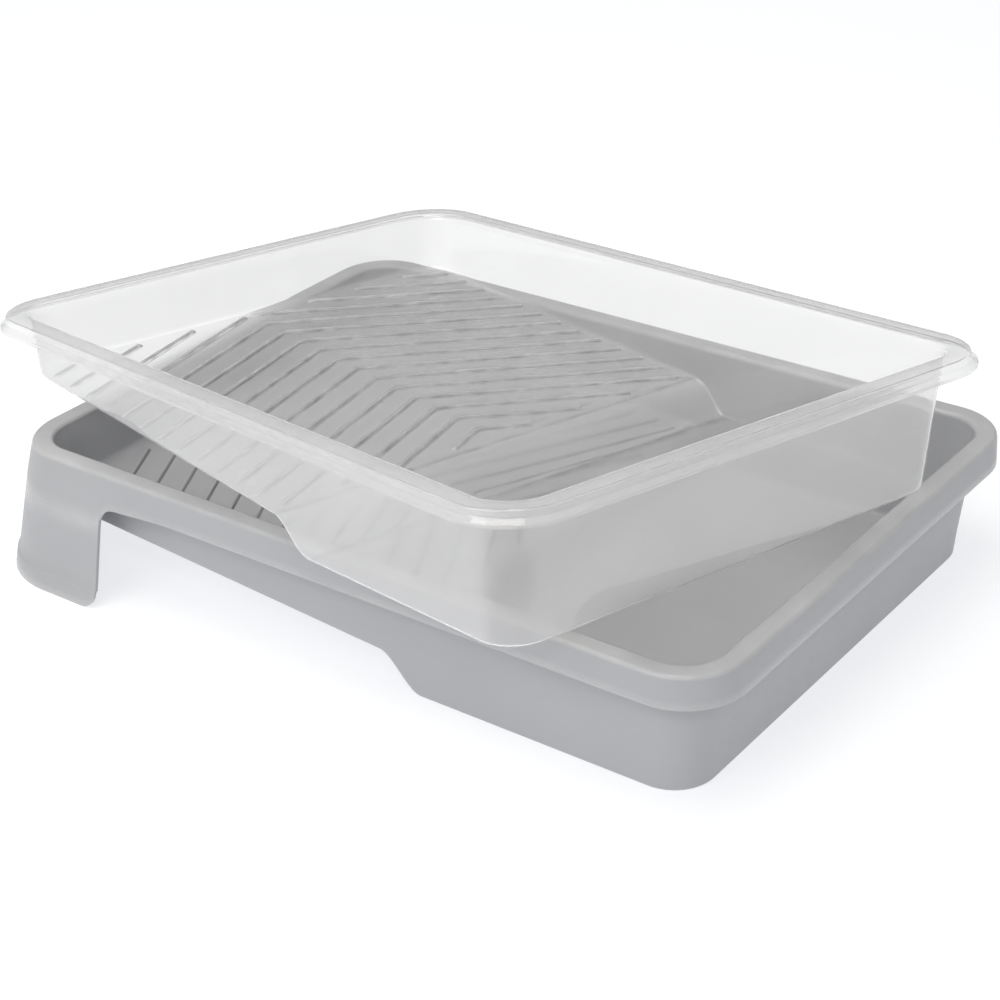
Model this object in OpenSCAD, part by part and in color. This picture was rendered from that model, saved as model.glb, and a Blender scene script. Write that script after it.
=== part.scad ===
// Paint roller tray: a moulded tray on two legs, and a clear liner lying askew on its rim.
// Millimetres. X runs from the shallow end to the deep end, Z is up.
// The origin is on the floor, at the middle of the well's flat underside.

/* [Tray] */
// Length of the tray over its rim
rim_len = 406; // [390:1:420]
// Width of the tray over its rim
rim_wid = 290; // [280:1:300]
// Height of the rim's top face above the floor
tray_h = 68; // [66:1:72]
// Outer corner radius of the rim
rim_r = 30; // [26:1:34]
// Width of the rim's top face
rim_w = 8; // [7:0.5:9]
// Rounding of the rim's outer edge
edge_r = 2; // [1:0.5:2.5]
// Radius of the bend between the rim and the basin wall
bend_r = 3; // [2:0.5:4]
// Depth of the skirt that hangs from the rim
skirt_h = 16; // [14:1:18]
// How far the skirt flares out over that depth
skirt_flare = 0.8; // [0:0.2:1.2]
// Wall thickness of the tray
tray_wall = 1.8; // [1.6:0.1:2.6]

/* [Basin] */
// How far the side walls lean in from rim to well floor
side_draft = 3.4; // [2:0.2:6]
// How far the deep end's wall leans in from rim to well floor
deep_draft = 6.8; // [4:0.2:9]
// How far the shallow end's wall leans in over the same depth
shallow_draft = 1.6; // [1:0.2:4]
// Depth of the ramp's underside below the rim, halfway along the tray
ramp_depth = 47.9; // [46:0.1:49]
// Rise of the ramp for each millimetre of length
ramp_rise = 0.078; // [0.07:0.001:0.09]
// Where the ramp ends and the step down to the well begins
step_start = 21.5; // [18:0.5:30]
// Length of that step
step_len = 22; // [18:1:28]
// Fillet between the well's floor and its walls
floor_r = 3; // [2:0.5:5]
// Rounding of the well's edge underneath
under_r = 1.5; // [0.5:0.5:2]

/* [Legs] */
// Distance from the tray's middle to the inner edge of each leg
leg_x = 137; // [125:1:150]
// Half the width of the gap between the legs at the shallow end
leg_gap_y = 90; // [70:1:100]
// How far the legs spread out at the floor
leg_flare = 15; // [8:0.2:18]
// Stretch of skirt over which that spread fades out
fade_len = 45; // [40:1:50]
// Inner radius where the skirt meets a leg
notch_r = 9; // [6:1:12]
// Rounding of a leg's inner corner at the floor
foot_r = 8; // [4:1:10]
// Height of the thicker foot at the bottom of each leg
foot_h = 9; // [6:1:12]
// Extra thickness of that foot
foot_step = 1; // [0.6:0.2:1.6]

/* [Ribs] */
// Distance between ribs along the tray
rib_pitch = 16.1; // [15:0.1:17]
// Slant of the rib arms, lengthways for each millimetre across
rib_slant = 0.49; // [0.4:0.01:0.6]
// Number of whole chevrons
rib_count = 12; // [10:1:12]
// Number of cut chevrons at the top of the ramp
rib_cut_count = 4; // [3:1:4]
// Apex of the first whole chevron
rib_apex = -169; // [-175:1:-165]
// First place on the ramp that carries a rib
rib_x0 = -183; // [-185:1:-180]
// Last place on the ramp that carries a rib
rib_x1 = 20; // [15:1:21]
// How far the rib arms reach sideways
rib_y = 127; // [115:1:127]
// Height of a rib
rib_h = 1.2; // [0.8:0.1:1.4]
// Width of a rib at its foot
rib_wid = 3; // [2:0.2:4]

/* [Liner] */
// Sheet thickness of the liner
sheet = 0.6; // [0.5:0.05:0.9]
// Depth of the liner's well below its rim
liner_h = 67.1; // [66:0.1:68]
// Depth of the liner's ramp below its rim, halfway along
liner_ramp_depth = 49.4; // [48:0.1:50]
// Rise of the liner's ramp for each millimetre of length
liner_rise = 0.0935; // [0.08:0.0005:0.1]
// Where the liner's ramp ends and its step begins
liner_step = 25; // [22:0.5:30]
// Gap between the liner's walls and the basin when it is seated
seat_gap = 0.5; // [0.4:0.1:0.8]
// How far the liner's rim reaches past the tray's
overhang = 1; // [0.8:0.1:1.5]
// Drop from the liner's rim to the crease of its lip
crease_drop = 3.4; // [2.5:0.1:4]
// How far the lip turns outwards
lip_w = 3.2; // [2:0.1:4]
// Drop from the liner's rim to the lip's free edge
lip_drop = 6.4; // [5.8:0.1:8]
// Centre of the liner's rim from the centre of the tray's rim: X
liner_x = -11.3; // [-20:0.1:-5]
// Centre of the liner's rim from the centre of the tray's rim: Y
liner_y = -20.7; // [-25:0.1:-10]
// Centre of the liner's rim from the centre of the tray's rim: Z
liner_z = 60.4; // [60.4:0.1:90]
// How the liner lies, turned about X
liner_roll = -4.05; // [-4.2:0.05:-3.9]
// How the liner lies, turned about Y
liner_pitch = -6; // [-6.1:0.05:-5.9]
// How the liner lies, turned about Z
liner_yaw = -13.4; // [-14:0.1:-13]

/* [Hidden] */
half_len = rim_len / 2;
half_wid = rim_wid / 2;
// The two floors, each as its well's depth, its ramp's depth, that ramp's rise and its step's start
tray_floor = [tray_h, ramp_depth, ramp_rise, step_start];
liner_floor = [liner_h, liner_ramp_depth, liner_rise, liner_step];
// Roundings of the liner's well, outside and inside
liner_out_r = 2.5;
liner_in_r = liner_out_r - sheet;
// Height of the lip's upright edge, and rounding of the liner's rim
lip_edge = 1.4;
liner_edge = 1.2;
// Facets in a quarter turn of a corner
arc_n = 6;
// Points along the step between ramp and well
step_n = 10;
// Angles of the rings that round an edge
turns = [0, 30, 60, 90];
// The rim's centre, seen from the origin
well_mid = (step_start + step_len + half_len - rim_w - bend_r - deep_draft) / 2;
rim_mid = [-well_mid, 0, tray_h];
// Overlap that makes unions and cuts clean
eps = 0.5;

// Ramp, step and well seen from the side: height of their underside at x
function smooth(u) = u * u * (3 - 2 * u);
function ramp_z(x, floor) = -floor[1] - floor[2] * x;
function step_z(u, floor) = ramp_z(floor[3], floor) * (1 - smooth(u)) - floor[0] * smooth(u);
function side_line(floor, up) = concat(
    [[-half_len - leg_flare, ramp_z(-half_len - leg_flare, floor) + up]],
    [for (i = [0:step_n]) [floor[3] + step_len * i / step_n, step_z(i / step_n, floor) + up]],
    [[half_len + leg_flare, -floor[0] + up]]);

// One level ring of points: a rounded rectangle set in from the rim's outline
function ring(z, side, deep, shallow, r) = [
    for (q = [0:3]) for (i = [0:arc_n])
        let (a = 90 * (q + i / arc_n),
             cx = (q == 0 || q == 3) ? half_len - deep - r : -half_len + shallow + r,
             cy = (q < 2) ? half_wid - side - r : -half_wid + side + r)
            [cx + r * cos(a), cy + r * sin(a), z]];
function even_ring(z, inset) = ring(z, inset, inset, inset, rim_r - inset);

// A closed solid through a list of rings, lowest first
module skin(rings) {
    n = len(rings[0]);
    last = (len(rings) - 1) * n;
    sides = [for (k = [0:len(rings) - 2]) for (i = [0:n - 1])
        let (a = k * n + i, b = k * n + (i + 1) % n)
            each [[a, a + n, b], [b, a + n, b + n]]];
    floor_cap = [for (i = [1:n - 2]) [0, i, i + 1]];
    top_cap = [for (i = [1:n - 2]) [last, last + i + 1, last + i]];
    polyhedron([for (r = rings) each r], concat(sides, floor_cap, top_cap));
}

// Everything above a floor's ramp, step and well, raised by up
module above_floor(floor, up) {
    rotate([90, 0, 0])
        linear_extrude(rim_wid + 2 * leg_flare, center = true)
            polygon(concat(side_line(floor, up), [[rim_len, rim_len], [-rim_len, rim_len]]));
}

// Space inside a basin whose walls stand in by gap from the tray's inner face
module basin_space(gap, floor, up, top, round) {
    flat = rim_w + bend_r + gap;
    wall_r = rim_r - flat;
    bottom = up - floor[0];
    function at(z, lean, inset) =
        ring(z, flat + side_draft * lean + inset, flat + deep_draft * lean + inset,
             flat + shallow_draft * lean + inset, wall_r - inset);
    function lean(z) = (-z - bend_r) / (tray_h - tray_wall - bend_r);
    rounding = [for (a = [30, 60, 90]) at(bottom + round * (1 - cos(a)), 1, round * (1 - sin(a)))];
    intersection() {
        skin(concat([at(bottom - eps, 1, round)], rounding, [at(top, lean(top), 0)]));
        above_floor(floor, up);
    }
}

// The bend from the rim's top face down into a basin, under a sheet that is drop thick
module mouth(gap, drop) {
    r = bend_r + gap;
    bend = [for (a = turns) even_ring(-drop - r * (1 - sin(a)), rim_w + r * cos(a))];
    skin(concat(bend, [even_ring(eps - drop, rim_w)]));
}

// The chevron ribs of a floor, standing up above its underside
module rib_arm(from_y, to_y, apex, floor, up) {
    hull()
        for (y = [from_y, to_y])
            let (x = apex + rib_slant * abs(y))
                translate([x, y, ramp_z(x, floor) + up - eps])
                    cylinder(h = rib_h + eps, d1 = rib_wid + eps, d2 = rib_wid / 3, $fn = 8);
}
module ribs(floor, up) {
    for (k = [-rib_cut_count:rib_count - 1])
        let (apex = rib_apex + k * rib_pitch,
             start = max(0, (rib_x0 - apex) / rib_slant),
             end = min(rib_y, (rib_x1 - apex) / rib_slant))
            for (s = [-1, 1]) rib_arm(s * start, s * end, apex, floor, up);
}

// Skirt and legs in one thin shell; the legs spread as they go down
function fade(x) = smooth(min(1, max(0, (fade_len - leg_x - x) / fade_len)));
function spread(z, x) =
    skirt_flare * min(1, -z / skirt_h)
    + fade(x) * (leg_flare * -z / tray_h + (z < foot_h - tray_h ? foot_step : 0));
function flared(z, inset) = [
    for (p = even_ring(z, inset))
        let (cx = max(-half_len + rim_r, min(half_len - rim_r, p[0])),
             cy = max(-half_wid + rim_r, min(half_wid - rim_r, p[1])),
             d = norm([p[0] - cx, p[1] - cy]),
             s = spread(z, p[0]))
            [p[0] + s * (p[0] - cx) / d, p[1] + s * (p[1] - cy) / d, z]];
module leg_window(edge, far) {
    polygon(concat(
        [[far, -tray_h - foot_h], [edge - foot_r, -tray_h - foot_h]],
        [for (a = [-90:15:0]) [edge - foot_r + foot_r * cos(a), foot_r - tray_h + foot_r * sin(a)]],
        [for (a = [180:-15:90]) [edge + notch_r + notch_r * cos(a), -skirt_h - notch_r + notch_r * sin(a)]],
        [[far, -skirt_h]]));
}
module skirt_and_legs() {
    foot_top = foot_h - tray_h;
    levels = [-tray_h, foot_top - eps, foot_top, -skirt_h];
    outer = concat([for (z = levels) flared(z, 0)],
        [for (a = turns) flared(-edge_r * (1 - sin(a)), edge_r * (1 - cos(a)))]);
    inner = [for (z = [-tray_h - eps, -skirt_h, -tray_wall]) flared(z, tray_wall)];
    difference() {
        skin(outer);
        skin(inner);
        rotate([90, 0, 0])
            linear_extrude(rim_wid + 4 * leg_flare, center = true)
                leg_window(-leg_x, rim_len);
        for (s = [0, 1]) mirror([0, s, 0])
            rotate([90, 0, -90])
                translate([0, 0, leg_x])
                    linear_extrude(rim_len)
                        leg_window(-leg_gap_y, eps);
    }
}

module tray() {
    color([0.69, 0.70, 0.72])
        translate(rim_mid) {
            difference() {
                union() {
                    skirt_and_legs();
                    basin_space(-tray_wall, tray_floor, 0, -tray_wall / 2, under_r);
                }
                basin_space(0, tray_floor, tray_wall, -bend_r, floor_r);
                mouth(0, 0);
            }
            ribs(tray_floor, tray_wall);
        }
}

// The liner as if it hung level from the tray's rim, before it is laid askew:
// its flange goes down to a crease, turns outwards and ends in a short upright edge
lip_line = [
    [lip_w, -lip_drop], [lip_w, lip_edge - lip_drop], [0, -crease_drop], [0, -liner_edge], [-liner_edge, 0]];
function lip_rings(t) = [for (p = lip_line) even_ring(p[1] - t, t - overhang - p[0])];
module flange() {
    difference() {
        skin(lip_rings(0));
        skin(lip_rings(sheet));
    }
}
module liner_body() {
    inside_gap = seat_gap + sheet;
    difference() {
        union() {
            flange();
            mouth(seat_gap, sheet);
            basin_space(seat_gap, liner_floor, 0, -bend_r - inside_gap, liner_out_r);
        }
        difference() {
            union() {
                basin_space(inside_gap, liner_floor, sheet, -bend_r - inside_gap, liner_in_r);
                mouth(inside_gap, 0);
            }
            ribs(liner_floor, sheet);
        }
        translate([0, 0, -sheet / 2]) ribs(liner_floor, 0);
    }
}
module liner() {
    color([0.90, 0.93, 0.95, 0.4])
        translate(rim_mid + [liner_x, liner_y, liner_z])
            rotate([liner_roll, liner_pitch, liner_yaw])
                liner_body();
}

tray();
liner();
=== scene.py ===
"""Paint roller tray and its clear liner: the looks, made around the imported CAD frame.

Shapes are worked out in millimetres round the middle of the tray's rim, with Z = 0 at the rim's top
face, and turned into metres in the frame's own axes as each piece is made.
"""

import math
from types import SimpleNamespace

import bmesh
import bpy
from mathutils import Euler, Matrix, Vector
from mathutils.geometry import delaunay_2d_cdt


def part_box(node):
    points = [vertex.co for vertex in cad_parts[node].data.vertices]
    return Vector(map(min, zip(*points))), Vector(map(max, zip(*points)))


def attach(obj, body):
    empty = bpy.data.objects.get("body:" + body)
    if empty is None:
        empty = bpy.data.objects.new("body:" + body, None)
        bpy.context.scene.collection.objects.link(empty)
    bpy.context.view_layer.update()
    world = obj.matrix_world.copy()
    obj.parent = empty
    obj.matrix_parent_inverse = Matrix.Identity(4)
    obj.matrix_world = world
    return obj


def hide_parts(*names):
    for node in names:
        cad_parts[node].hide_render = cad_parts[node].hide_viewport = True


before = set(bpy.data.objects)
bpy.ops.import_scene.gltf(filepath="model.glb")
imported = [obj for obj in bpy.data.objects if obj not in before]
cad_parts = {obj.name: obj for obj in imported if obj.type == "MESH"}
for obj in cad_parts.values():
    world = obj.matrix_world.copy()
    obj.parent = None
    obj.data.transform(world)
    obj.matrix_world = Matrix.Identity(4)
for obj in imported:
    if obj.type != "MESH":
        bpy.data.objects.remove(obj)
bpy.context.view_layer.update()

MM = 0.001

# How far the skirt, the legs and the feet stand out beyond the rim
SKIRT_FLARE = 0.8
LEG_FLARE = 15.0
FOOT_STEP = 1.0
SPREAD_MOST = SKIRT_FLARE + LEG_FLARE + FOOT_STEP

# The rim's half length and half width, and the tray's height, from the frame
TRAY_LOW, TRAY_HIGH = (Vector(corner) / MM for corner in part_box("tray"))
TRAY_H = TRAY_HIGH.z - TRAY_LOW.z
HALF_LEN = (TRAY_HIGH.x - TRAY_LOW.x - SPREAD_MOST - SKIRT_FLARE) / 2
HALF_WID = (TRAY_HIGH.y - TRAY_LOW.y) / 2 - SPREAD_MOST
RIM_MID = Vector((TRAY_HIGH.x - SKIRT_FLARE - HALF_LEN, 0, TRAY_H))

# Rim, skirt and wall of the tray
RIM_R = 30.0
RIM_W = 8.0
RIM_EDGE_R = 2.0
BEND_R = 3.0
SKIRT_H = 16.0
TRAY_WALL = 1.8

# How far the walls lean in between the rim and the well's floor
SIDE_DRAFT = 3.4
DEEP_DRAFT = 6.8
SHALLOW_DRAFT = 1.6

# Length of the S-shaped step down from the ramp to the well
STEP_LEN = 22.0

# Legs: where their inner edges are, the notch above and the foot below
LEG_X = 137.0
LEG_GAP_Y = 90.0
NOTCH_R = 9.0
FOOT_R = 8.0
FOOT_H = 9.0

# Height over which the foot's step stands out, and how far below the step's top a leg goes at least
FOOT_STEP_H = 0.8
FOOT_LEAST = 1.0

# Length over which a leg's flare fades in along the tray's side
FADE_LEN = 45.0

# Chevron ribs. The apex of those counted as cut would lie beyond the ribs' shallow end, so only their
# arms are there. The ribs stay within RIB_X along the tray, and within RIB_Y on each side of its middle.
RIB_COUNT = 12
RIB_CUT_COUNT = 4
RIB_PITCH = 16.1
RIB_SLANT = 0.49
RIB_APEX = -169.0
RIB_X = (-183.0, 20.0)
RIB_Y = 127.0

# Length of a rib's rounded end, and how far in its first line lies
RIB_END = 1.6
RIB_TIP = 0.3 * RIB_END

# Lines across a rib: places as shares of its half width, and how much painted shade each carries,
# which darkens the flank that faces the well
RIB_PROFILE = ((-1.3, 0.0), (-1.0, 0.0), (-0.72, 0.0), (-0.36, 0.0), (0.0, 0.1), (0.36, 0.6), (0.72, 1.0),
               (1.0, 0.9), (1.3, 0.0))

# The liner, and the way it lies: its rim's centre seen from the tray's, and its turn about X, Y and Z
SHEET = 0.6
SEAT_GAP = 0.5
OVERHANG = 1.0
LINER_EDGE_R = 1.2
CREASE_DROP = 3.4
CREASE_R = 0.7
LIP_W = 3.2
LIP_EDGE = 1.4
LIP_DROP = 6.4
LIP_R = 0.9
LINER_AT = Vector((-11.3, -20.7, 60.4))
LINER_TURN = (-4.05, -6.0, -13.4)

# How hazy each part of the liner is, from 0 to 1. STEP_HAZE is added in the middle of its step.
RIM_HAZE = 0.55
RAMP_HAZE = 0.5
STEP_HAZE = 0.06
WELL_HAZE = 0.2
NEAR_HAZE = 0.9
DEEP_HAZE = 0.72
FAR_HAZE = 0.4
SHALLOW_HAZE = 0.6

# How much clearer the liner's deep corners are, and the far side of its deep wall
CORNER_CLEAR = 0.6
DEEP_CLEAR = 0.35

# How much less the liner's well floor blurs what lies behind it than its ramp does
WELL_CLEAR = 0.75

# How much painted shade darkens the liner's floor where the step starts and ends, as a share of a rib flank's
STEP_CREASE_SHADE = 0.8

# How worn the tray's rim, the bend into its basin and its skirt's bottom edge are. Worn edges turn
# a paler grey, which also stands in for a painted highlight along them
RIM_RUB_HIGHLIGHT = 1.0
BEND_RUB_HIGHLIGHT = 0.8
SKIRT_RUB_HIGHLIGHT = 0.7

# Rounding of the free edges, and the angles from which an edge is rounded or shaded as sharp
TRAY_EDGE_ROUND = 0.5
SHEET_EDGE_ROUND = 0.15
ROUND_FROM = math.radians(60)
SHARP_FROM = math.radians(50)

# Fineness of the meshes: steps along each shape, and the widest gap between lines elsewhere
CORNER_N = 14
ARC_N = 5
STEP_N = 14
WALL_N = 7
SKIRT_N = 3
SPACING = 7.0
LEG_SPACING = 9.0
RIB_SPACING = 14.0

# Stations that are closer than this count as one, and a column this close to a leg's edge is part of it
SAME = 0.01

# What the floor's triangulation makes, which is the triangles inside the outline, and how close points
# are welded
TRIANGLES_INSIDE = 1
WELD = 1e-5

# Rounds that settle the place above a point of the floor, and a wall's foot: each depends on itself
ABOVE_ROUNDS = 6
FOOT_ROUNDS = 8

# What each point of a mesh carries for its material: how worn it is and so how much painted highlight
# it gets, how hazy its sheet is, how much it blurs what lies behind it, and how much painted shade darkens it
MARKS = ("wear_and_highlight", "drawn", "frost", "painted_shade")


# ---------------------------------------------------------------- shapes

def smooth(u):
    """Eases from 0 to 1 as u does."""
    u = min(1.0, max(0.0, u))
    return u * u * (3 - 2 * u)


def split(start, end, count):
    """Evenly spaced values from start to end in count steps."""
    return [start + (end - start) * i / count for i in range(count + 1)]


def spaced(start, end, gap):
    """Evenly spaced values from start to end, no further apart than gap."""
    return split(start, end, max(1, math.ceil(abs(end - start) / gap)))


def merged(*lists):
    """One ascending list of stations, without doubles."""
    values = sorted(value for values in lists for value in values)
    return [v for i, v in enumerate(values) if i == 0 or v - values[i - 1] > SAME]


def rounded_path(corners, steps):
    """A path through corners, each (inset, z, radius), with arcs at those that have a radius.

    Returns its points and, for each, the direction towards the sheet's back.
    """
    ways = [(Vector(q[:2]) - Vector(p[:2])).normalized() for p, q in zip(corners, corners[1:])]
    path = []
    for i, (inset, z, radius) in enumerate(corners):
        here = Vector((inset, z))
        before, after = ways[max(0, i - 1)], ways[min(i, len(ways) - 1)]
        if not radius:
            path.append((here, Vector((-after.y, after.x))))
            continue
        bend = before.angle(after)
        reach = radius * math.tan(bend / 2)
        side = math.copysign(1.0, before.cross(after))
        centre = here - before * reach + side * radius * Vector((-before.y, before.x))
        for k in range(steps + 1):
            along = Matrix.Rotation(side * bend * k / steps, 2) @ before
            back = Vector((-along.y, along.x))
            path.append((centre - side * radius * back, back))
    return path


def underside_z(kind, x):
    """Height of a basin's underside at x: the ramp, the S-shaped step and the well."""
    ramp = -kind.ramp - kind.rise * min(x, kind.step)
    down = smooth((x - kind.step) / STEP_LEN)
    return ramp * (1 - down) - kind.well * down


def lean(z):
    """How far down a wall z lies: 0 at the bend under the rim, 1 at the well's floor."""
    return max(0.0, (-z - BEND_R) / (TRAY_H - TRAY_WALL - BEND_R))


# A kind holds what tells the tray's shell from the liner's. Gap is how far its walls stand inside the
# tray's. Well and ramp are depths, rise is how much the ramp deepens per millimetre, and step is where it
# ends. Floor_r and under_r round the floor's edge on its two faces. Rim is the path over the rim, for
# rounded_path, and crease is how much painted shade darkens the step's start and end.

def tray_kind():
    """The sizes of the tray's shell."""
    return SimpleNamespace(name="tray", thick=TRAY_WALL, gap=0.0, legs=True,
                           well=TRAY_H, ramp=47.9, rise=0.078, step=21.5, floor_r=3.0, under_r=1.5,
                           rim=[(0, 0, RIM_EDGE_R)], rib_h=1.2, rib_w=2.4, ribbed_back=False, crease=0.0)


def liner_kind():
    """The sizes of the liner's shell. Its rim turns down, out over a crease, and down again at the lip."""
    lip_z = LIP_EDGE - LIP_DROP
    lip_edge = -OVERHANG - LIP_W
    return SimpleNamespace(name="liner", thick=SHEET, gap=SEAT_GAP + SHEET, legs=False,
                           well=67.1, ramp=49.4, rise=0.0935, step=25.0, floor_r=1.9, under_r=2.5,
                           rim=[(-OVERHANG, 0, LINER_EDGE_R), (-OVERHANG, -CREASE_DROP, CREASE_R),
                                (lip_edge, lip_z, LIP_R), (lip_edge, -LIP_DROP, 0)],
                           rib_h=1.5, rib_w=3.0, ribbed_back=True, crease=STEP_CREASE_SHADE)


def leg_cut(u):
    """Bottom of the skirt at u millimetres inside a leg's inner edge, where the notch rounds it."""
    if u <= -NOTCH_R:
        return -SKIRT_H
    if u < 0:
        return -SKIRT_H - NOTCH_R + math.sqrt(NOTCH_R ** 2 - (NOTCH_R + u) ** 2)
    return -SKIRT_H - NOTCH_R


def foot_cut(u):
    """Bottom of a leg at u millimetres inside its inner edge."""
    if u >= FOOT_R:
        return -TRAY_H
    return FOOT_R - TRAY_H - math.sqrt(FOOT_R ** 2 - (FOOT_R - u) ** 2)


def round_stations(edge, sign):
    """Stations that follow the notch and the foot's round corner beside a leg's inner edge."""
    turns = [math.radians(90 * i / ARC_N) for i in range(ARC_N + 1)]
    notch = [edge + sign * NOTCH_R * (1 - math.cos(a)) for a in turns]
    foot = [edge - sign * FOOT_R * (1 - math.cos(a)) for a in turns]
    return notch + foot


def columns(kind):
    """The upright lines that every ring of the shell follows, once round its outline.

    Each has the centre of its corner arc, its outward direction, how its centre moves as the walls
    lean, and how far it stands inside a leg.
    """
    a, b = HALF_LEN - RIM_R, HALF_WID - RIM_R

    def shift_x(x):
        """How far a centre at x moves towards the shallow end as the walls lean."""
        along = (x + a) / (2 * a)
        return -SHALLOW_DRAFT * (1 - along) + DEEP_DRAFT * along

    def above(x):
        """The place on the rim from which a column comes down to x on the floor."""
        top = x
        for _ in range(ABOVE_ROUNDS):
            top = x + lean(floor_z(kind, x) + kind.floor_r) * shift_x(top)
        return top

    steps = [above(x) for x in split(kind.step, kind.step + STEP_LEN, STEP_N)]
    long_side = merged([-a, a], spaced(-a, -LEG_X - FOOT_R, SPACING), round_stations(-LEG_X, 1),
                       spaced(-LEG_X + NOTCH_R, steps[0], SPACING), steps, spaced(steps[-1], a, SPACING))
    short_side = merged(spaced(-b, -LEG_GAP_Y - FOOT_R, SPACING), round_stations(-LEG_GAP_Y, 1),
                        spaced(-LEG_GAP_Y + NOTCH_R, LEG_GAP_Y - NOTCH_R, SPACING),
                        round_stations(LEG_GAP_Y, -1), spaced(LEG_GAP_Y + FOOT_R, b, SPACING))

    def column(x, y, angle, inside):
        """The column round a centre at x and y that faces angle."""
        turn = math.radians(angle)
        shift = (shift_x(x), SIDE_DRAFT * y / b)
        return SimpleNamespace(x=x, y=y, out=(math.cos(turn), math.sin(turn)), shift=shift,
                               inside=inside if kind.legs else -TRAY_H)

    def corner(x, y, start, inside):
        """The columns round one corner of the rim, from the angle start on."""
        return [column(x, y, start + 90 * i / CORNER_N, inside) for i in range(1, CORNER_N)]

    ring = [column(a, y, 0, -TRAY_H) for y in short_side]
    ring += corner(a, b, 0, -TRAY_H)
    ring += [column(x, b, 90, -LEG_X - x) for x in reversed(long_side)]
    ring += corner(-a, b, 90, TRAY_H)
    ring += [column(-a, y, 180, abs(y) - LEG_GAP_Y) for y in reversed(short_side)]
    ring += corner(-a, -b, 180, TRAY_H)
    ring += [column(x, -b, 270, -LEG_X - x) for x in long_side]
    ring += corner(a, -b, 270, -TRAY_H)
    return ring


def spot(col, inset, z, leaning=0.0, spread=0.0):
    """A point of one column: inset from the tray's rim outline, at height z."""
    reach = RIM_R - inset + spread
    return Vector((col.x - leaning * col.shift[0] + reach * col.out[0],
                   col.y - leaning * col.shift[1] + reach * col.out[1], z))


def flare(kind, col, z):
    """How far the skirt, and a leg below it, has spread out at height z."""
    if not kind.legs:
        return 0.0
    x = col.x + RIM_R * col.out[0]
    fade = smooth((FADE_LEN - LEG_X - x) / FADE_LEN)
    foot = FOOT_STEP * smooth((FOOT_H - TRAY_H - z) / FOOT_STEP_H)
    return SKIRT_FLARE * min(1.0, -z / SKIRT_H) + fade * (LEG_FLARE * -z / TRAY_H + foot)


def haze(col):
    """How hazy a column of the liner's wall is: it depends on its side, and the deep corners are clearer."""
    x, y = col.out
    deep = DEEP_HAZE * (1 - DEEP_CLEAR * col.y / HALF_WID)
    sides = ((NEAR_HAZE, -y), (deep, x), (FAR_HAZE, y), (SHALLOW_HAZE, -x))
    clear = CORNER_CLEAR * smooth(2 * abs(x * y)) if x > 0 else 0.0
    return sum(share * max(0.0, facing) ** 2 for share, facing in sides) * (1 - clear)


def floor_haze(kind, x):
    """How hazy the liner's floor is at x."""
    down = smooth((x - kind.step) / STEP_LEN)
    return RAMP_HAZE * (1 - down) + WELL_HAZE * down + STEP_HAZE * 4 * down * (1 - down)


def floor_frost(kind, x):
    """How much the liner's floor blurs what lies behind it at x: 1 on the ramp, and less in the well."""
    return 1 - WELL_CLEAR * smooth((x - kind.step) / STEP_LEN)


def floor_z(kind, x):
    """Height of a basin's floor at x."""
    return underside_z(kind, x) + kind.thick


def floor_spot(kind, col):
    """Where a column meets the flat floor, found in rounds because its lean depends on its height."""
    flat = RIM_W + BEND_R + kind.gap + kind.floor_r
    z = -TRAY_H / 2
    for _ in range(FOOT_ROUNDS):
        point = spot(col, flat, z, lean(z + kind.floor_r))
        z = floor_z(kind, point.x)
    point.z = z
    return point


def rib_arms():
    """Each rib as its apex and the stretch of each arm that it has, sideways from the middle."""
    for k in range(-RIB_CUT_COUNT, RIB_COUNT):
        apex = RIB_APEX + k * RIB_PITCH
        start = max(0.0, (RIB_X[0] - apex) / RIB_SLANT)
        end = min(RIB_Y, (RIB_X[1] - apex) / RIB_SLANT)
        yield apex, start, end


def rib_lines(kind):
    """Lines along every rib, on its flanks and beside them, as lists of (x, y, height, lee).

    The painted shade is near 1 on the flank that faces the well, which it darkens.
    """
    lines = []
    skew = math.hypot(1, RIB_SLANT)
    half = kind.rib_w / 2
    for apex, start, end in rib_arms():
        starts = [start, start + RIB_TIP, start + RIB_END] if start else [0.0]
        reach = merged(starts, spaced(start, end, RIB_SPACING), [end - RIB_END, end - RIB_TIP, end])
        for share, painted_shade in RIB_PROFILE:
            offset = half * share
            rise = kind.rib_h * math.sqrt(max(0.0, 1 - share ** 2))
            arm = []
            for y in reach:
                left = min(y - start if start else RIB_END, end - y)
                taper = math.sqrt(max(0.0, 1 - (1 - min(1.0, left / RIB_END)) ** 2))
                if y == 0:
                    arm.append((apex + offset * skew, 0.0, rise, painted_shade))
                else:
                    arm.append((apex + RIB_SLANT * y + offset / skew, y - offset * RIB_SLANT / skew,
                                rise * taper, painted_shade * taper))
            mirrored = [(x, -y, z, dark) for x, y, z, dark in arm]
            lines += [arm, mirrored] if start else [mirrored[:0:-1] + arm]
    return lines


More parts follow.
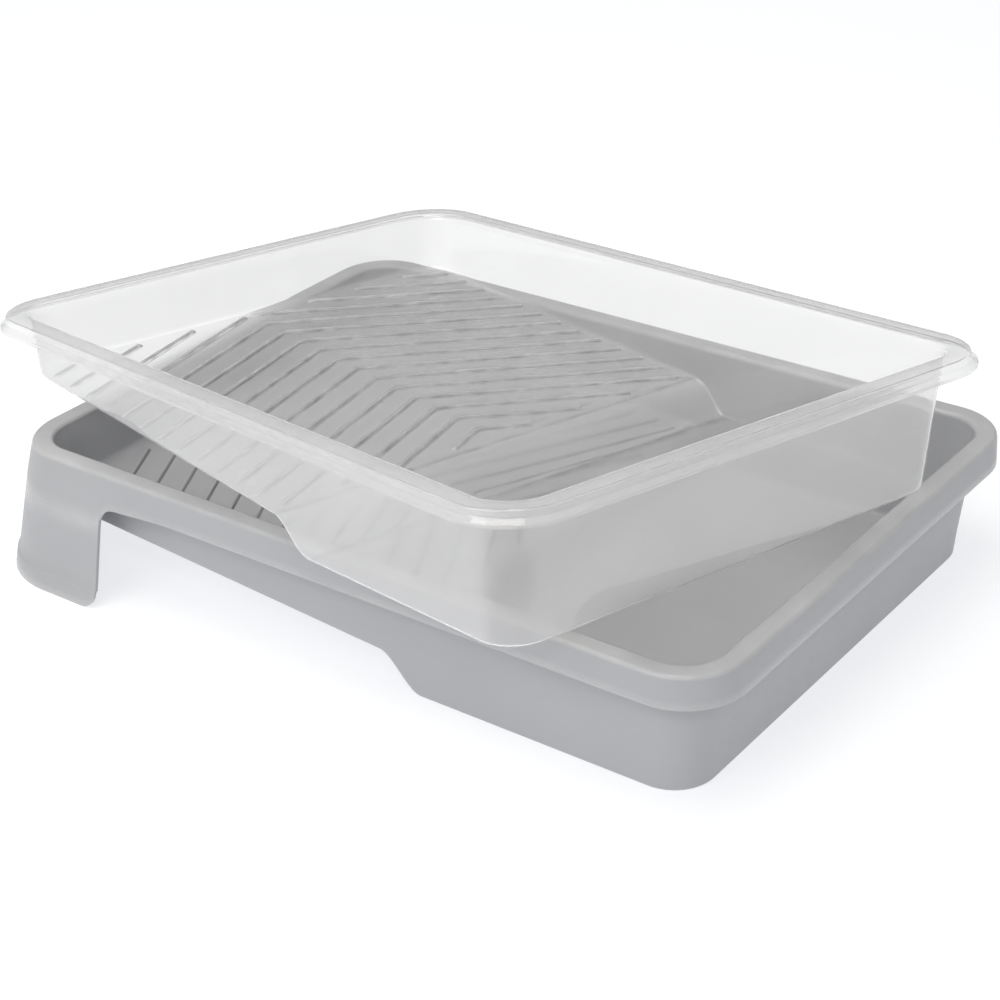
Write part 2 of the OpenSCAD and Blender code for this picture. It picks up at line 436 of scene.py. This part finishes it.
def floor_patch(kind, ring):
    """The floor inside a ring of points: ramp, step and well, with the ribs' own lines in it.

    Returns its points, their rib heights and painted shade, its triangles, and the places of the ring's own
    points.
    """
    points = [(p.x, p.y) for p in ring]
    creases = (kind.step, kind.step + STEP_LEN)
    reach = STEP_LEN / STEP_N / 2
    rises = [(0.0, kind.crease if min(abs(p.x - x) for x in creases) < reach else 0.0) for p in ring]
    edges = [(i, (i + 1) % len(ring)) for i in range(len(ring))]
    # From the step on, lines run straight across between the two long sides.
    near = {round(p.x, 3): i for i, p in enumerate(ring) if p.y < 0}
    for i, p in enumerate(ring):
        if p.y > 0 and p.x > kind.step - 1 and round(p.x, 3) in near:
            edges.append((i, near[round(p.x, 3)]))
    for line in rib_lines(kind):
        first = len(points)
        points += [(x, y) for x, y, _, _ in line]
        rises += [(rise, painted_shade) for _, _, rise, painted_shade in line]
        edges += [(i, i + 1) for i in range(first, first + len(line) - 1)]
    made, _, faces, sources, _, _ = delaunay_2d_cdt(
        [Vector(p) for p in points], edges, [list(range(len(ring)))], TRIANGLES_INSIDE, WELD)
    order = {}
    for new, olds in enumerate(sources):
        for old in olds:
            order[old] = new
    high = [max((rises[old] for old in olds), default=(0.0, 0.0)) for olds in sources]
    return made, high, faces, [order[i] for i in range(len(ring))]


def rub_and_highlight(i, last):
    """How worn point i of the path over the rim is, and so how much painted highlight it gets: the bend comes
    first, then the rim's edge.
    """
    if i == last:
        return SKIRT_RUB_HIGHLIGHT
    if i > 2 * ARC_N or i <= 1:
        return 0.0
    return BEND_RUB_HIGHLIGHT if i <= ARC_N else RIM_RUB_HIGHLIGHT


def profile_rows(kind, col, foot):
    """One column of the shell from the floor's edge to the skirt or the lip.

    Each row is (face point, back point, how worn it is with its painted highlight, drawn, frost).
    """
    t = kind.thick
    wall = RIM_W + BEND_R + kind.gap
    bend = BEND_R + kind.gap
    stretch = haze(col)
    low = foot.z + kind.floor_r
    rows = []
    for turn in split(0, math.pi / 2, ARC_N):
        across, up = 1 - math.sin(turn), 1 - math.cos(turn)
        face = spot(col, wall + kind.floor_r * across, foot.z + kind.floor_r * up, lean(low))
        back = spot(col, wall - t + kind.under_r * across, foot.z - t + kind.under_r * up, lean(low))
        drawn = stretch * math.sin(turn) + floor_haze(kind, foot.x) * (1 - math.sin(turn))
        rows.append((face, back, 0.0, drawn, floor_frost(kind, foot.x) * (1 - math.sin(turn))))
    for z in split(low, -bend, WALL_N)[1:-1]:
        rows.append((spot(col, wall, z, lean(z)), spot(col, wall - t, z, lean(z)), 0.0, stretch, 0.0))

    skirt = [(0, -SKIRT_H, 0)] if kind.legs else []
    path = rounded_path([(wall, -bend, 0), (wall, 0, bend)] + kind.rim + skirt, ARC_N)[1:]
    if kind.legs:
        path.pop()
        end = path[-1][0]
        bottom = leg_cut(col.inside)
        path += [(Vector((0, z)), Vector((1, 0))) for z in split(end.y, bottom, SKIRT_N)[1:]]
    for i, (face, back) in enumerate(path):
        behind = face + back * t
        share = min(1.0, i / ARC_N)
        rows.append((spot(col, face.x, face.y, 0, flare(kind, col, face.y)),
                     spot(col, behind.x, behind.y, 0, flare(kind, col, behind.y)),
                     rub_and_highlight(i, len(path) - 1), stretch * (1 - share) + RIM_HAZE * share, 0.0))
    return rows


def leg_rows(kind, col):
    """One column of a leg below the skirt, in rows like those of profile_rows."""
    step_z = FOOT_H - TRAY_H
    foot_z = step_z - FOOT_STEP_H
    bottom = min(foot_cut(col.inside), step_z - FOOT_LEAST)
    levels = spaced(-SKIRT_H - NOTCH_R, step_z, LEG_SPACING)[1:] + [step_z - FOOT_STEP_H / 2, foot_z]
    levels += split(foot_z, bottom, 2)[1:]
    rows = []
    for z in levels:
        out = flare(kind, col, z)
        wear_and_highlight = 1.0 if z == levels[-1] else 0.0
        rows.append((spot(col, 0, z, 0, out), spot(col, kind.thick, z, 0, out), wear_and_highlight, 0.0, 0.0))
    return rows


def strip(left, right):
    """Four-sided faces between two columns of points."""
    return [(left[k], left[k + 1], right[k + 1], right[k]) for k in range(len(left) - 1)]


def sheet(kind):
    """A moulding as a sheet: points on its face, those behind them, the marks of each, and its faces."""
    cols = columns(kind)
    feet = [floor_spot(kind, col) for col in cols]
    face_pts, back_pts = [], []
    marks = {name: [] for name in MARKS}

    def add(face, back, *values):
        """Adds a pair of points with their marks, and gives their place in the lists."""
        face_pts.append(face)
        back_pts.append(back)
        for name, value in zip(MARKS, values):
            marks[name].append(value)
        return len(face_pts) - 1

    flat, high, floor_faces, order = floor_patch(kind, feet)
    for (x, y), (rise, painted_shade) in zip(flat, high):
        z = floor_z(kind, x)
        back_rise = rise if kind.ribbed_back else 0
        add(Vector((x, y, z + rise)), Vector((x, y, z + back_rise - kind.thick)),
            0.0, floor_haze(kind, x), floor_frost(kind, x), painted_shade)
    faces = [tuple(f) for f in floor_faces]

    walls = [[start] + [add(*row, 0.0) for row in profile_rows(kind, col, foot)[1:]]
             for start, col, foot in zip(order, cols, feet)]
    if len({len(wall) for wall in walls}) > 1:
        raise ValueError("the columns of %s differ in length" % kind.name)
    for left, right in zip(walls, walls[1:] + walls[:1]):
        faces += strip(left, right)
    if kind.legs:
        legs = {i: [walls[i][-1]] + [add(*row, 0.0) for row in leg_rows(kind, col)]
                for i, col in enumerate(cols) if col.inside > -SAME}
        for i in legs:
            after = (i + 1) % len(cols)
            if after in legs:
                faces += strip(legs[i], legs[after])
    return face_pts, back_pts, marks, faces


def shell_mesh(kind):
    """The whole moulding as one closed mesh: its sheet's two faces, joined along its free edge."""
    face_pts, back_pts, marks, faces = sheet(kind)
    bm = bmesh.new()
    for name in marks:
        bm.verts.layers.float.new(name)
    face_verts = [bm.verts.new(p * MM) for p in face_pts]
    back_verts = [bm.verts.new(p * MM) for p in back_pts]
    for name, values in marks.items():
        layer = bm.verts.layers.float[name]
        for face_vert, back_vert, value in zip(face_verts, back_verts, values):
            face_vert[layer] = value
            back_vert[layer] = 0.0 if name == "wear_and_highlight" else value

    edge_uses = {}
    for loop in faces:
        bm.faces.new([face_verts[i] for i in loop])
        bm.faces.new([back_verts[i] for i in reversed(loop)])
        for pair in zip(loop, loop[1:] + loop[:1]):
            edge = frozenset(pair)
            edge_uses[edge] = edge_uses.get(edge, 0) + 1
    for edge, uses in edge_uses.items():
        if uses == 1:
            i, j = edge
            bm.faces.new([face_verts[i], face_verts[j], back_verts[j], back_verts[i]])
    bmesh.ops.recalc_face_normals(bm, faces=bm.faces)
    mesh = bpy.data.meshes.new(kind.name)
    bm.to_mesh(mesh)
    bm.free()
    return mesh


def finish_mesh(mesh, name, place, edge_round, material):
    """Sets a mesh in the frame, rounds its sharp free edges and gives it its material."""
    mesh.transform(place)
    obj = bpy.data.objects.new(name, mesh)
    bpy.context.collection.objects.link(obj)
    bevel = obj.modifiers.new("edge_round", "BEVEL")
    bevel.width = edge_round * MM
    bevel.segments = 2
    bevel.limit_method = "ANGLE"
    bevel.angle_limit = ROUND_FROM
    depsgraph = bpy.context.evaluated_depsgraph_get()
    made = bpy.data.meshes.new_from_object(obj.evaluated_get(depsgraph))
    obj.modifiers.clear()
    obj.data = made
    made.shade_smooth()
    made.set_sharp_from_angle(angle=SHARP_FROM)
    made.materials.append(material)
    return obj


# ---------------------------------------------------------------- materials

# The tray's greys in linear light: its cloudy range, its flow marks, its worn edges, paler as a painted
# highlight too, and the painted shade on its ribs' flanks
GREY_LOW = (0.398, 0.403, 0.416)
GREY_HIGH = (0.424, 0.429, 0.442)
GREY_FLOW = (0.440, 0.445, 0.457)
RUBBED_HIGHLIGHT_GREY = (0.56, 0.56, 0.56)
PAINTED_SHADE_GREY = (0.12, 0.12, 0.12)

# The liner's tints: its cloudy range, its ramp, and the painted shade on its ribs' flanks and at the
# step's creases
CLEAR_LOW = (0.915, 0.913, 0.910)
CLEAR_HIGH = (0.935, 0.932, 0.928)
RAMP_TINT = (0.965, 0.965, 0.965)
PAINTED_SHADE_TINT = (0.5, 0.5, 0.5)

# The white that makes the liner hazy, the least share of it, and how much light clear and hazy sheet let
# through into a shadow
MILK_WHITE = (0.95, 0.95, 0.955, 1)
LEAST_MILK = 0.01
CLEAR_SHADOW = (0.92, 0.92, 0.92)
HAZY_SHADOW = (0.54, 0.54, 0.55)


def new_material(name):
    """A material with an empty Principled shader, its node tree and helpers that add nodes."""
    material = bpy.data.materials.new(name)
    material.use_nodes = True
    nodes, links = material.node_tree.nodes, material.node_tree.links
    shader = nodes["Principled BSDF"]
    place = nodes.new("ShaderNodeTexCoord").outputs["Object"]

    def attribute(name):
        """One of the mesh's marks."""
        node = nodes.new("ShaderNodeAttribute")
        node.attribute_name = name
        return node.outputs["Fac"]

    def noise(size_mm, detail=2.0, stretch=(1, 1, 1)):
        """A noise whose features are about size_mm across."""
        mapping = nodes.new("ShaderNodeMapping")
        mapping.inputs["Scale"].default_value = stretch
        links.new(place, mapping.inputs["Vector"])
        node = nodes.new("ShaderNodeTexNoise")
        node.inputs["Scale"].default_value = 1 / (size_mm * MM)
        node.inputs["Detail"].default_value = detail
        links.new(mapping.outputs["Vector"], node.inputs["Vector"])
        return node.outputs["Fac"]

    def remap(value, low, high, span=(0, 1)):
        """Turns a value's span into low to high."""
        node = nodes.new("ShaderNodeMapRange")
        node.inputs["From Min"].default_value, node.inputs["From Max"].default_value = span
        node.inputs["To Min"].default_value = low
        node.inputs["To Max"].default_value = high
        links.new(value, node.inputs["Value"])
        return node.outputs["Result"]

    def cloud(low, high, span=(0.2, 0.8), **looks):
        """A noise that runs from low to high."""
        return remap(noise(**looks), low, high, span)

    def blend(fac, first, second):
        """Mixes two colours, each a tuple or a socket."""
        node = nodes.new("ShaderNodeMix")
        node.data_type = "RGBA"
        links.new(fac, node.inputs["Factor"])
        for slot, colour in (("A", first), ("B", second)):
            socket = [s for s in node.inputs if s.identifier == slot + "_Color"][0]
            if isinstance(colour, tuple):
                socket.default_value = (*colour, 1)
            else:
                links.new(colour, socket)
        return [s for s in node.outputs if s.identifier == "Result_Color"][0]

    def times(first, second):
        """The product of two sockets."""
        node = nodes.new("ShaderNodeMath")
        node.operation = "MULTIPLY"
        links.new(first, node.inputs[0])
        links.new(second, node.inputs[1])
        return node.outputs[0]

    def plus(value, amount):
        """A socket's value with a number added."""
        node = nodes.new("ShaderNodeMath")
        node.operation = "ADD"
        links.new(value, node.inputs[0])
        node.inputs[1].default_value = amount
        return node.outputs[0]

    def bump(height, depth_mm, onto=None):
        """A bumpy normal, on top of another one where it is given."""
        node = nodes.new("ShaderNodeBump")
        node.inputs["Distance"].default_value = depth_mm * MM
        links.new(height, node.inputs["Height"])
        if onto is not None:
            links.new(onto, node.inputs["Normal"])
        return node.outputs["Normal"]

    def mix_shader(fac, first, second):
        """Mixes two shaders."""
        node = nodes.new("ShaderNodeMixShader")
        for socket, value in zip(node.inputs, (fac, first, second)):
            links.new(value, socket)
        return node.outputs["Shader"]

    tools = SimpleNamespace(nodes=nodes, links=links, shader=shader, attribute=attribute, noise=noise,
                            remap=remap, cloud=cloud, blend=blend, times=times, plus=plus, bump=bump,
                            mix_shader=mix_shader)
    return material, tools


def tray_plastic():
    """Moulded grey polypropylene: satin, finely grained and faintly streaked, with worn, glossier edges paled
    as a painted highlight.
    """
    material, t = new_material("tray_plastic")
    wear_and_highlight, painted_shade = t.attribute("wear_and_highlight"), t.attribute("painted_shade")
    base = t.blend(t.cloud(0, 1, size_mm=60, detail=3), GREY_LOW, GREY_HIGH)
    base = t.blend(t.cloud(0, 0.35, size_mm=14, stretch=(0.25, 1, 1)), base, GREY_FLOW)
    # Worn edges turn paler: partly wear, partly a painted highlight
    base = t.blend(t.times(wear_and_highlight, t.cloud(0.2, 0.9, size_mm=25, detail=3)), base, RUBBED_HIGHLIGHT_GREY)
    # Painted shade: the ribs' flanks that face the well are darkened
    base = t.blend(t.times(painted_shade, t.cloud(0.4, 0.8, size_mm=30)), base, PAINTED_SHADE_GREY)
    t.links.new(base, t.shader.inputs["Base Color"])
    rough = t.times(t.cloud(0.34, 0.48, size_mm=5, detail=4), t.remap(wear_and_highlight, 1, 0.35))
    t.links.new(rough, t.shader.inputs["Roughness"])
    t.shader.inputs["IOR"].default_value = 1.49
    grain = t.bump(t.noise(size_mm=0.45, detail=1), depth_mm=0.010)
    waves = t.bump(t.noise(size_mm=38, detail=1), depth_mm=0.06, onto=grain)
    t.links.new(waves, t.shader.inputs["Normal"])
    return material


def liner_sheet():
    """Clear thermoformed sheet: hazy where it was drawn, with a ramp that blurs what lies behind it."""
    material, t = new_material("liner_sheet")
    drawn, frost, painted_shade = t.attribute("drawn"), t.attribute("frost"), t.attribute("painted_shade")
    t.shader.inputs["Transmission Weight"].default_value = 1.0
    t.shader.inputs["IOR"].default_value = 1.5
    tint = t.blend(t.cloud(0, 1, size_mm=50), CLEAR_LOW, CLEAR_HIGH)
    tint = t.blend(frost, tint, RAMP_TINT)
    # Painted shade: a darker tint on the ribs' flanks and where the step starts and ends
    tint = t.blend(t.times(painted_shade, t.cloud(0.1, 1.15, size_mm=11, span=(0.25, 0.75))), tint, PAINTED_SHADE_TINT)
    t.links.new(tint, t.shader.inputs["Base Color"])
    rough = t.times(t.remap(frost, 0.3, 1.0), t.cloud(0.12, 0.17, size_mm=60, detail=1))
    t.links.new(rough, t.shader.inputs["Roughness"])

    milk = t.nodes.new("ShaderNodeBsdfDiffuse")
    milk.inputs["Color"].default_value = MILK_WHITE
    haze_share = t.plus(t.times(drawn, t.cloud(0.17, 0.27, size_mm=60)), LEAST_MILK)
    hazy = t.mix_shader(haze_share, t.shader.outputs["BSDF"], milk.outputs["BSDF"])

    clear = t.nodes.new("ShaderNodeBsdfTransparent")
    t.links.new(t.blend(drawn, CLEAR_SHADOW, HAZY_SHADOW), clear.inputs["Color"])
    in_shadow = t.nodes.new("ShaderNodeLightPath").outputs["Is Shadow Ray"]
    whole = t.mix_shader(in_shadow, hazy, clear.outputs["BSDF"])
    t.links.new(whole, t.nodes["Material Output"].inputs["Surface"])
    return material


# ---------------------------------------------------------------- pieces

def make_tray():
    """The tray's moulding, which stands for the CAD tray."""
    place = Matrix.Translation(RIM_MID * MM)
    obj = finish_mesh(shell_mesh(tray_kind()), "tray_moulding", place, TRAY_EDGE_ROUND, tray_plastic())
    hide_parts("tray")
    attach(obj, "tray")


def make_liner():
    """The liner's sheet, lying askew on the rim, which stands for the CAD liner."""
    turn = Euler([math.radians(a) for a in LINER_TURN], "XYZ").to_matrix().to_4x4()
    place = Matrix.Translation((RIM_MID + LINER_AT) * MM) @ turn
    obj = finish_mesh(shell_mesh(liner_kind()), "liner_sheet", place, SHEET_EDGE_ROUND, liner_sheet())
    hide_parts("liner")
    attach(obj, "liner")


# ---------------------------------------------------------------- stage

# The camera: its angles in degrees, its distance from the middle of the tray's rim and its pan in
# millimetres, and its lens
CAMERA_AZIMUTH = 37.115
CAMERA_ELEVATION = 28.613
CAMERA_ROLL = -1.850
CAMERA_DISTANCE = 1091.7
CAMERA_PAN = (-4.85, -34.39)
CAMERA_LENS = 79.67
SENSOR = 36.0

# The floor: half its width in metres, its grey, and the glow that turns it white
FLOOR_HALF = 40.0
FLOOR_GREY = (0.40, 0.40, 0.40, 1)
FLOOR_GLOW = (0.96, 0.975, 1.0, 1)
FLOOR_GLOW_STRENGTH = 0.70

# The studio's walls and ceiling: their tint, and how bright they are at the horizon and overhead
STUDIO_TINT = (0.97, 0.98, 1.0, 1)
STUDIO_LOW = 0.2
STUDIO_HIGH = 0.62

# The lamps, in metres: where each stands, its width and height, its power in watts and its colour
WHITE = (1.0, 1.0, 1.0)
WARM = (1.0, 0.965, 0.91)
LAMPS = {
    "key": ((-0.3, -1.7, 1.2), (1.6, 1.0), 12, WHITE),
    "top": ((-0.45, -0.3, 2.0), (1.4, 1.4), 17.5, WARM),
    "front": ((0.8, -1.05, 1.2), (0.28, 0.16), 2.4, WHITE),
}
LAMP_AIM = Vector((-0.12, 0, 0.05))


def make_camera():
    """The camera, turned about the middle of the tray's rim and then moved sideways."""
    az, el, roll = (math.radians(a) for a in (CAMERA_AZIMUTH, CAMERA_ELEVATION, CAMERA_ROLL))
    back = Vector((math.sin(az) * math.cos(el), -math.cos(az) * math.cos(el), math.sin(el)))
    right = (-back).cross(Vector((0, 0, 1))).normalized()
    up = right.cross(-back)
    side = right * math.cos(roll) + up * math.sin(roll)
    top = up * math.cos(roll) - right * math.sin(roll)
    camera = bpy.data.objects.new("camera", bpy.data.cameras.new("camera"))
    bpy.context.collection.objects.link(camera)
    place = RIM_MID + side * CAMERA_PAN[0] + top * CAMERA_PAN[1] + back * CAMERA_DISTANCE
    camera.matrix_world = Matrix((side, top, back)).transposed().to_4x4()
    camera.location = place * MM
    camera.data.lens = CAMERA_LENS
    camera.data.sensor_width = SENSOR
    bpy.context.scene.camera = camera


def make_floor():
    """A pale floor that glows a little, so that it comes out nearly white."""
    bm = bmesh.new()
    bmesh.ops.create_grid(bm, x_segments=8, y_segments=8, size=FLOOR_HALF)
    mesh = bpy.data.meshes.new("floor")
    bm.to_mesh(mesh)
    bm.free()
    floor = bpy.data.objects.new("floor", mesh)
    bpy.context.collection.objects.link(floor)
    material = bpy.data.materials.new("floor")
    material.use_nodes = True
    shader = material.node_tree.nodes["Principled BSDF"]
    shader.inputs["Base Color"].default_value = FLOOR_GREY
    shader.inputs["Roughness"].default_value = 0.9
    shader.inputs["Specular IOR Level"].default_value = 0.1
    shader.inputs["Emission Color"].default_value = FLOOR_GLOW
    shader.inputs["Emission Strength"].default_value = FLOOR_GLOW_STRENGTH
    mesh.materials.append(material)


def make_world():
    """Soft light from all round, brighter overhead than at the horizon."""
    world = bpy.data.worlds.new("studio")
    bpy.context.scene.world = world
    world.use_nodes = True
    nodes, links = world.node_tree.nodes, world.node_tree.links
    background = nodes["Background"]
    background.inputs["Color"].default_value = STUDIO_TINT
    direction = nodes.new("ShaderNodeSeparateXYZ")
    links.new(nodes.new("ShaderNodeTexCoord").outputs["Generated"], direction.inputs[0])
    rise = nodes.new("ShaderNodeMapRange")
    rise.inputs["To Min"].default_value = STUDIO_LOW
    rise.inputs["To Max"].default_value = STUDIO_HIGH
    links.new(direction.outputs["Z"], rise.inputs["Value"])
    links.new(rise.outputs["Result"], background.inputs["Strength"])


def make_lamp(name, at, size, power, colour):
    """A soft rectangular lamp that faces LAMP_AIM."""
    lamp = bpy.data.lights.new(name, "AREA")
    lamp.shape = "RECTANGLE"
    lamp.size, lamp.size_y = size
    lamp.energy = power
    lamp.color = colour
    obj = bpy.data.objects.new(name, lamp)
    bpy.context.collection.objects.link(obj)
    obj.location = at
    obj.rotation_mode = "QUATERNION"
    obj.rotation_quaternion = (LAMP_AIM - Vector(at)).to_track_quat("-Z", "Y")


def make_stage():
    """Camera, floor, studio and lamps."""
    make_camera()
    make_floor()
    make_world()
    for name, looks in LAMPS.items():
        make_lamp(name, *looks)
    bpy.context.scene.view_settings.view_transform = "Standard"


make_stage()
make_tray()
make_liner()
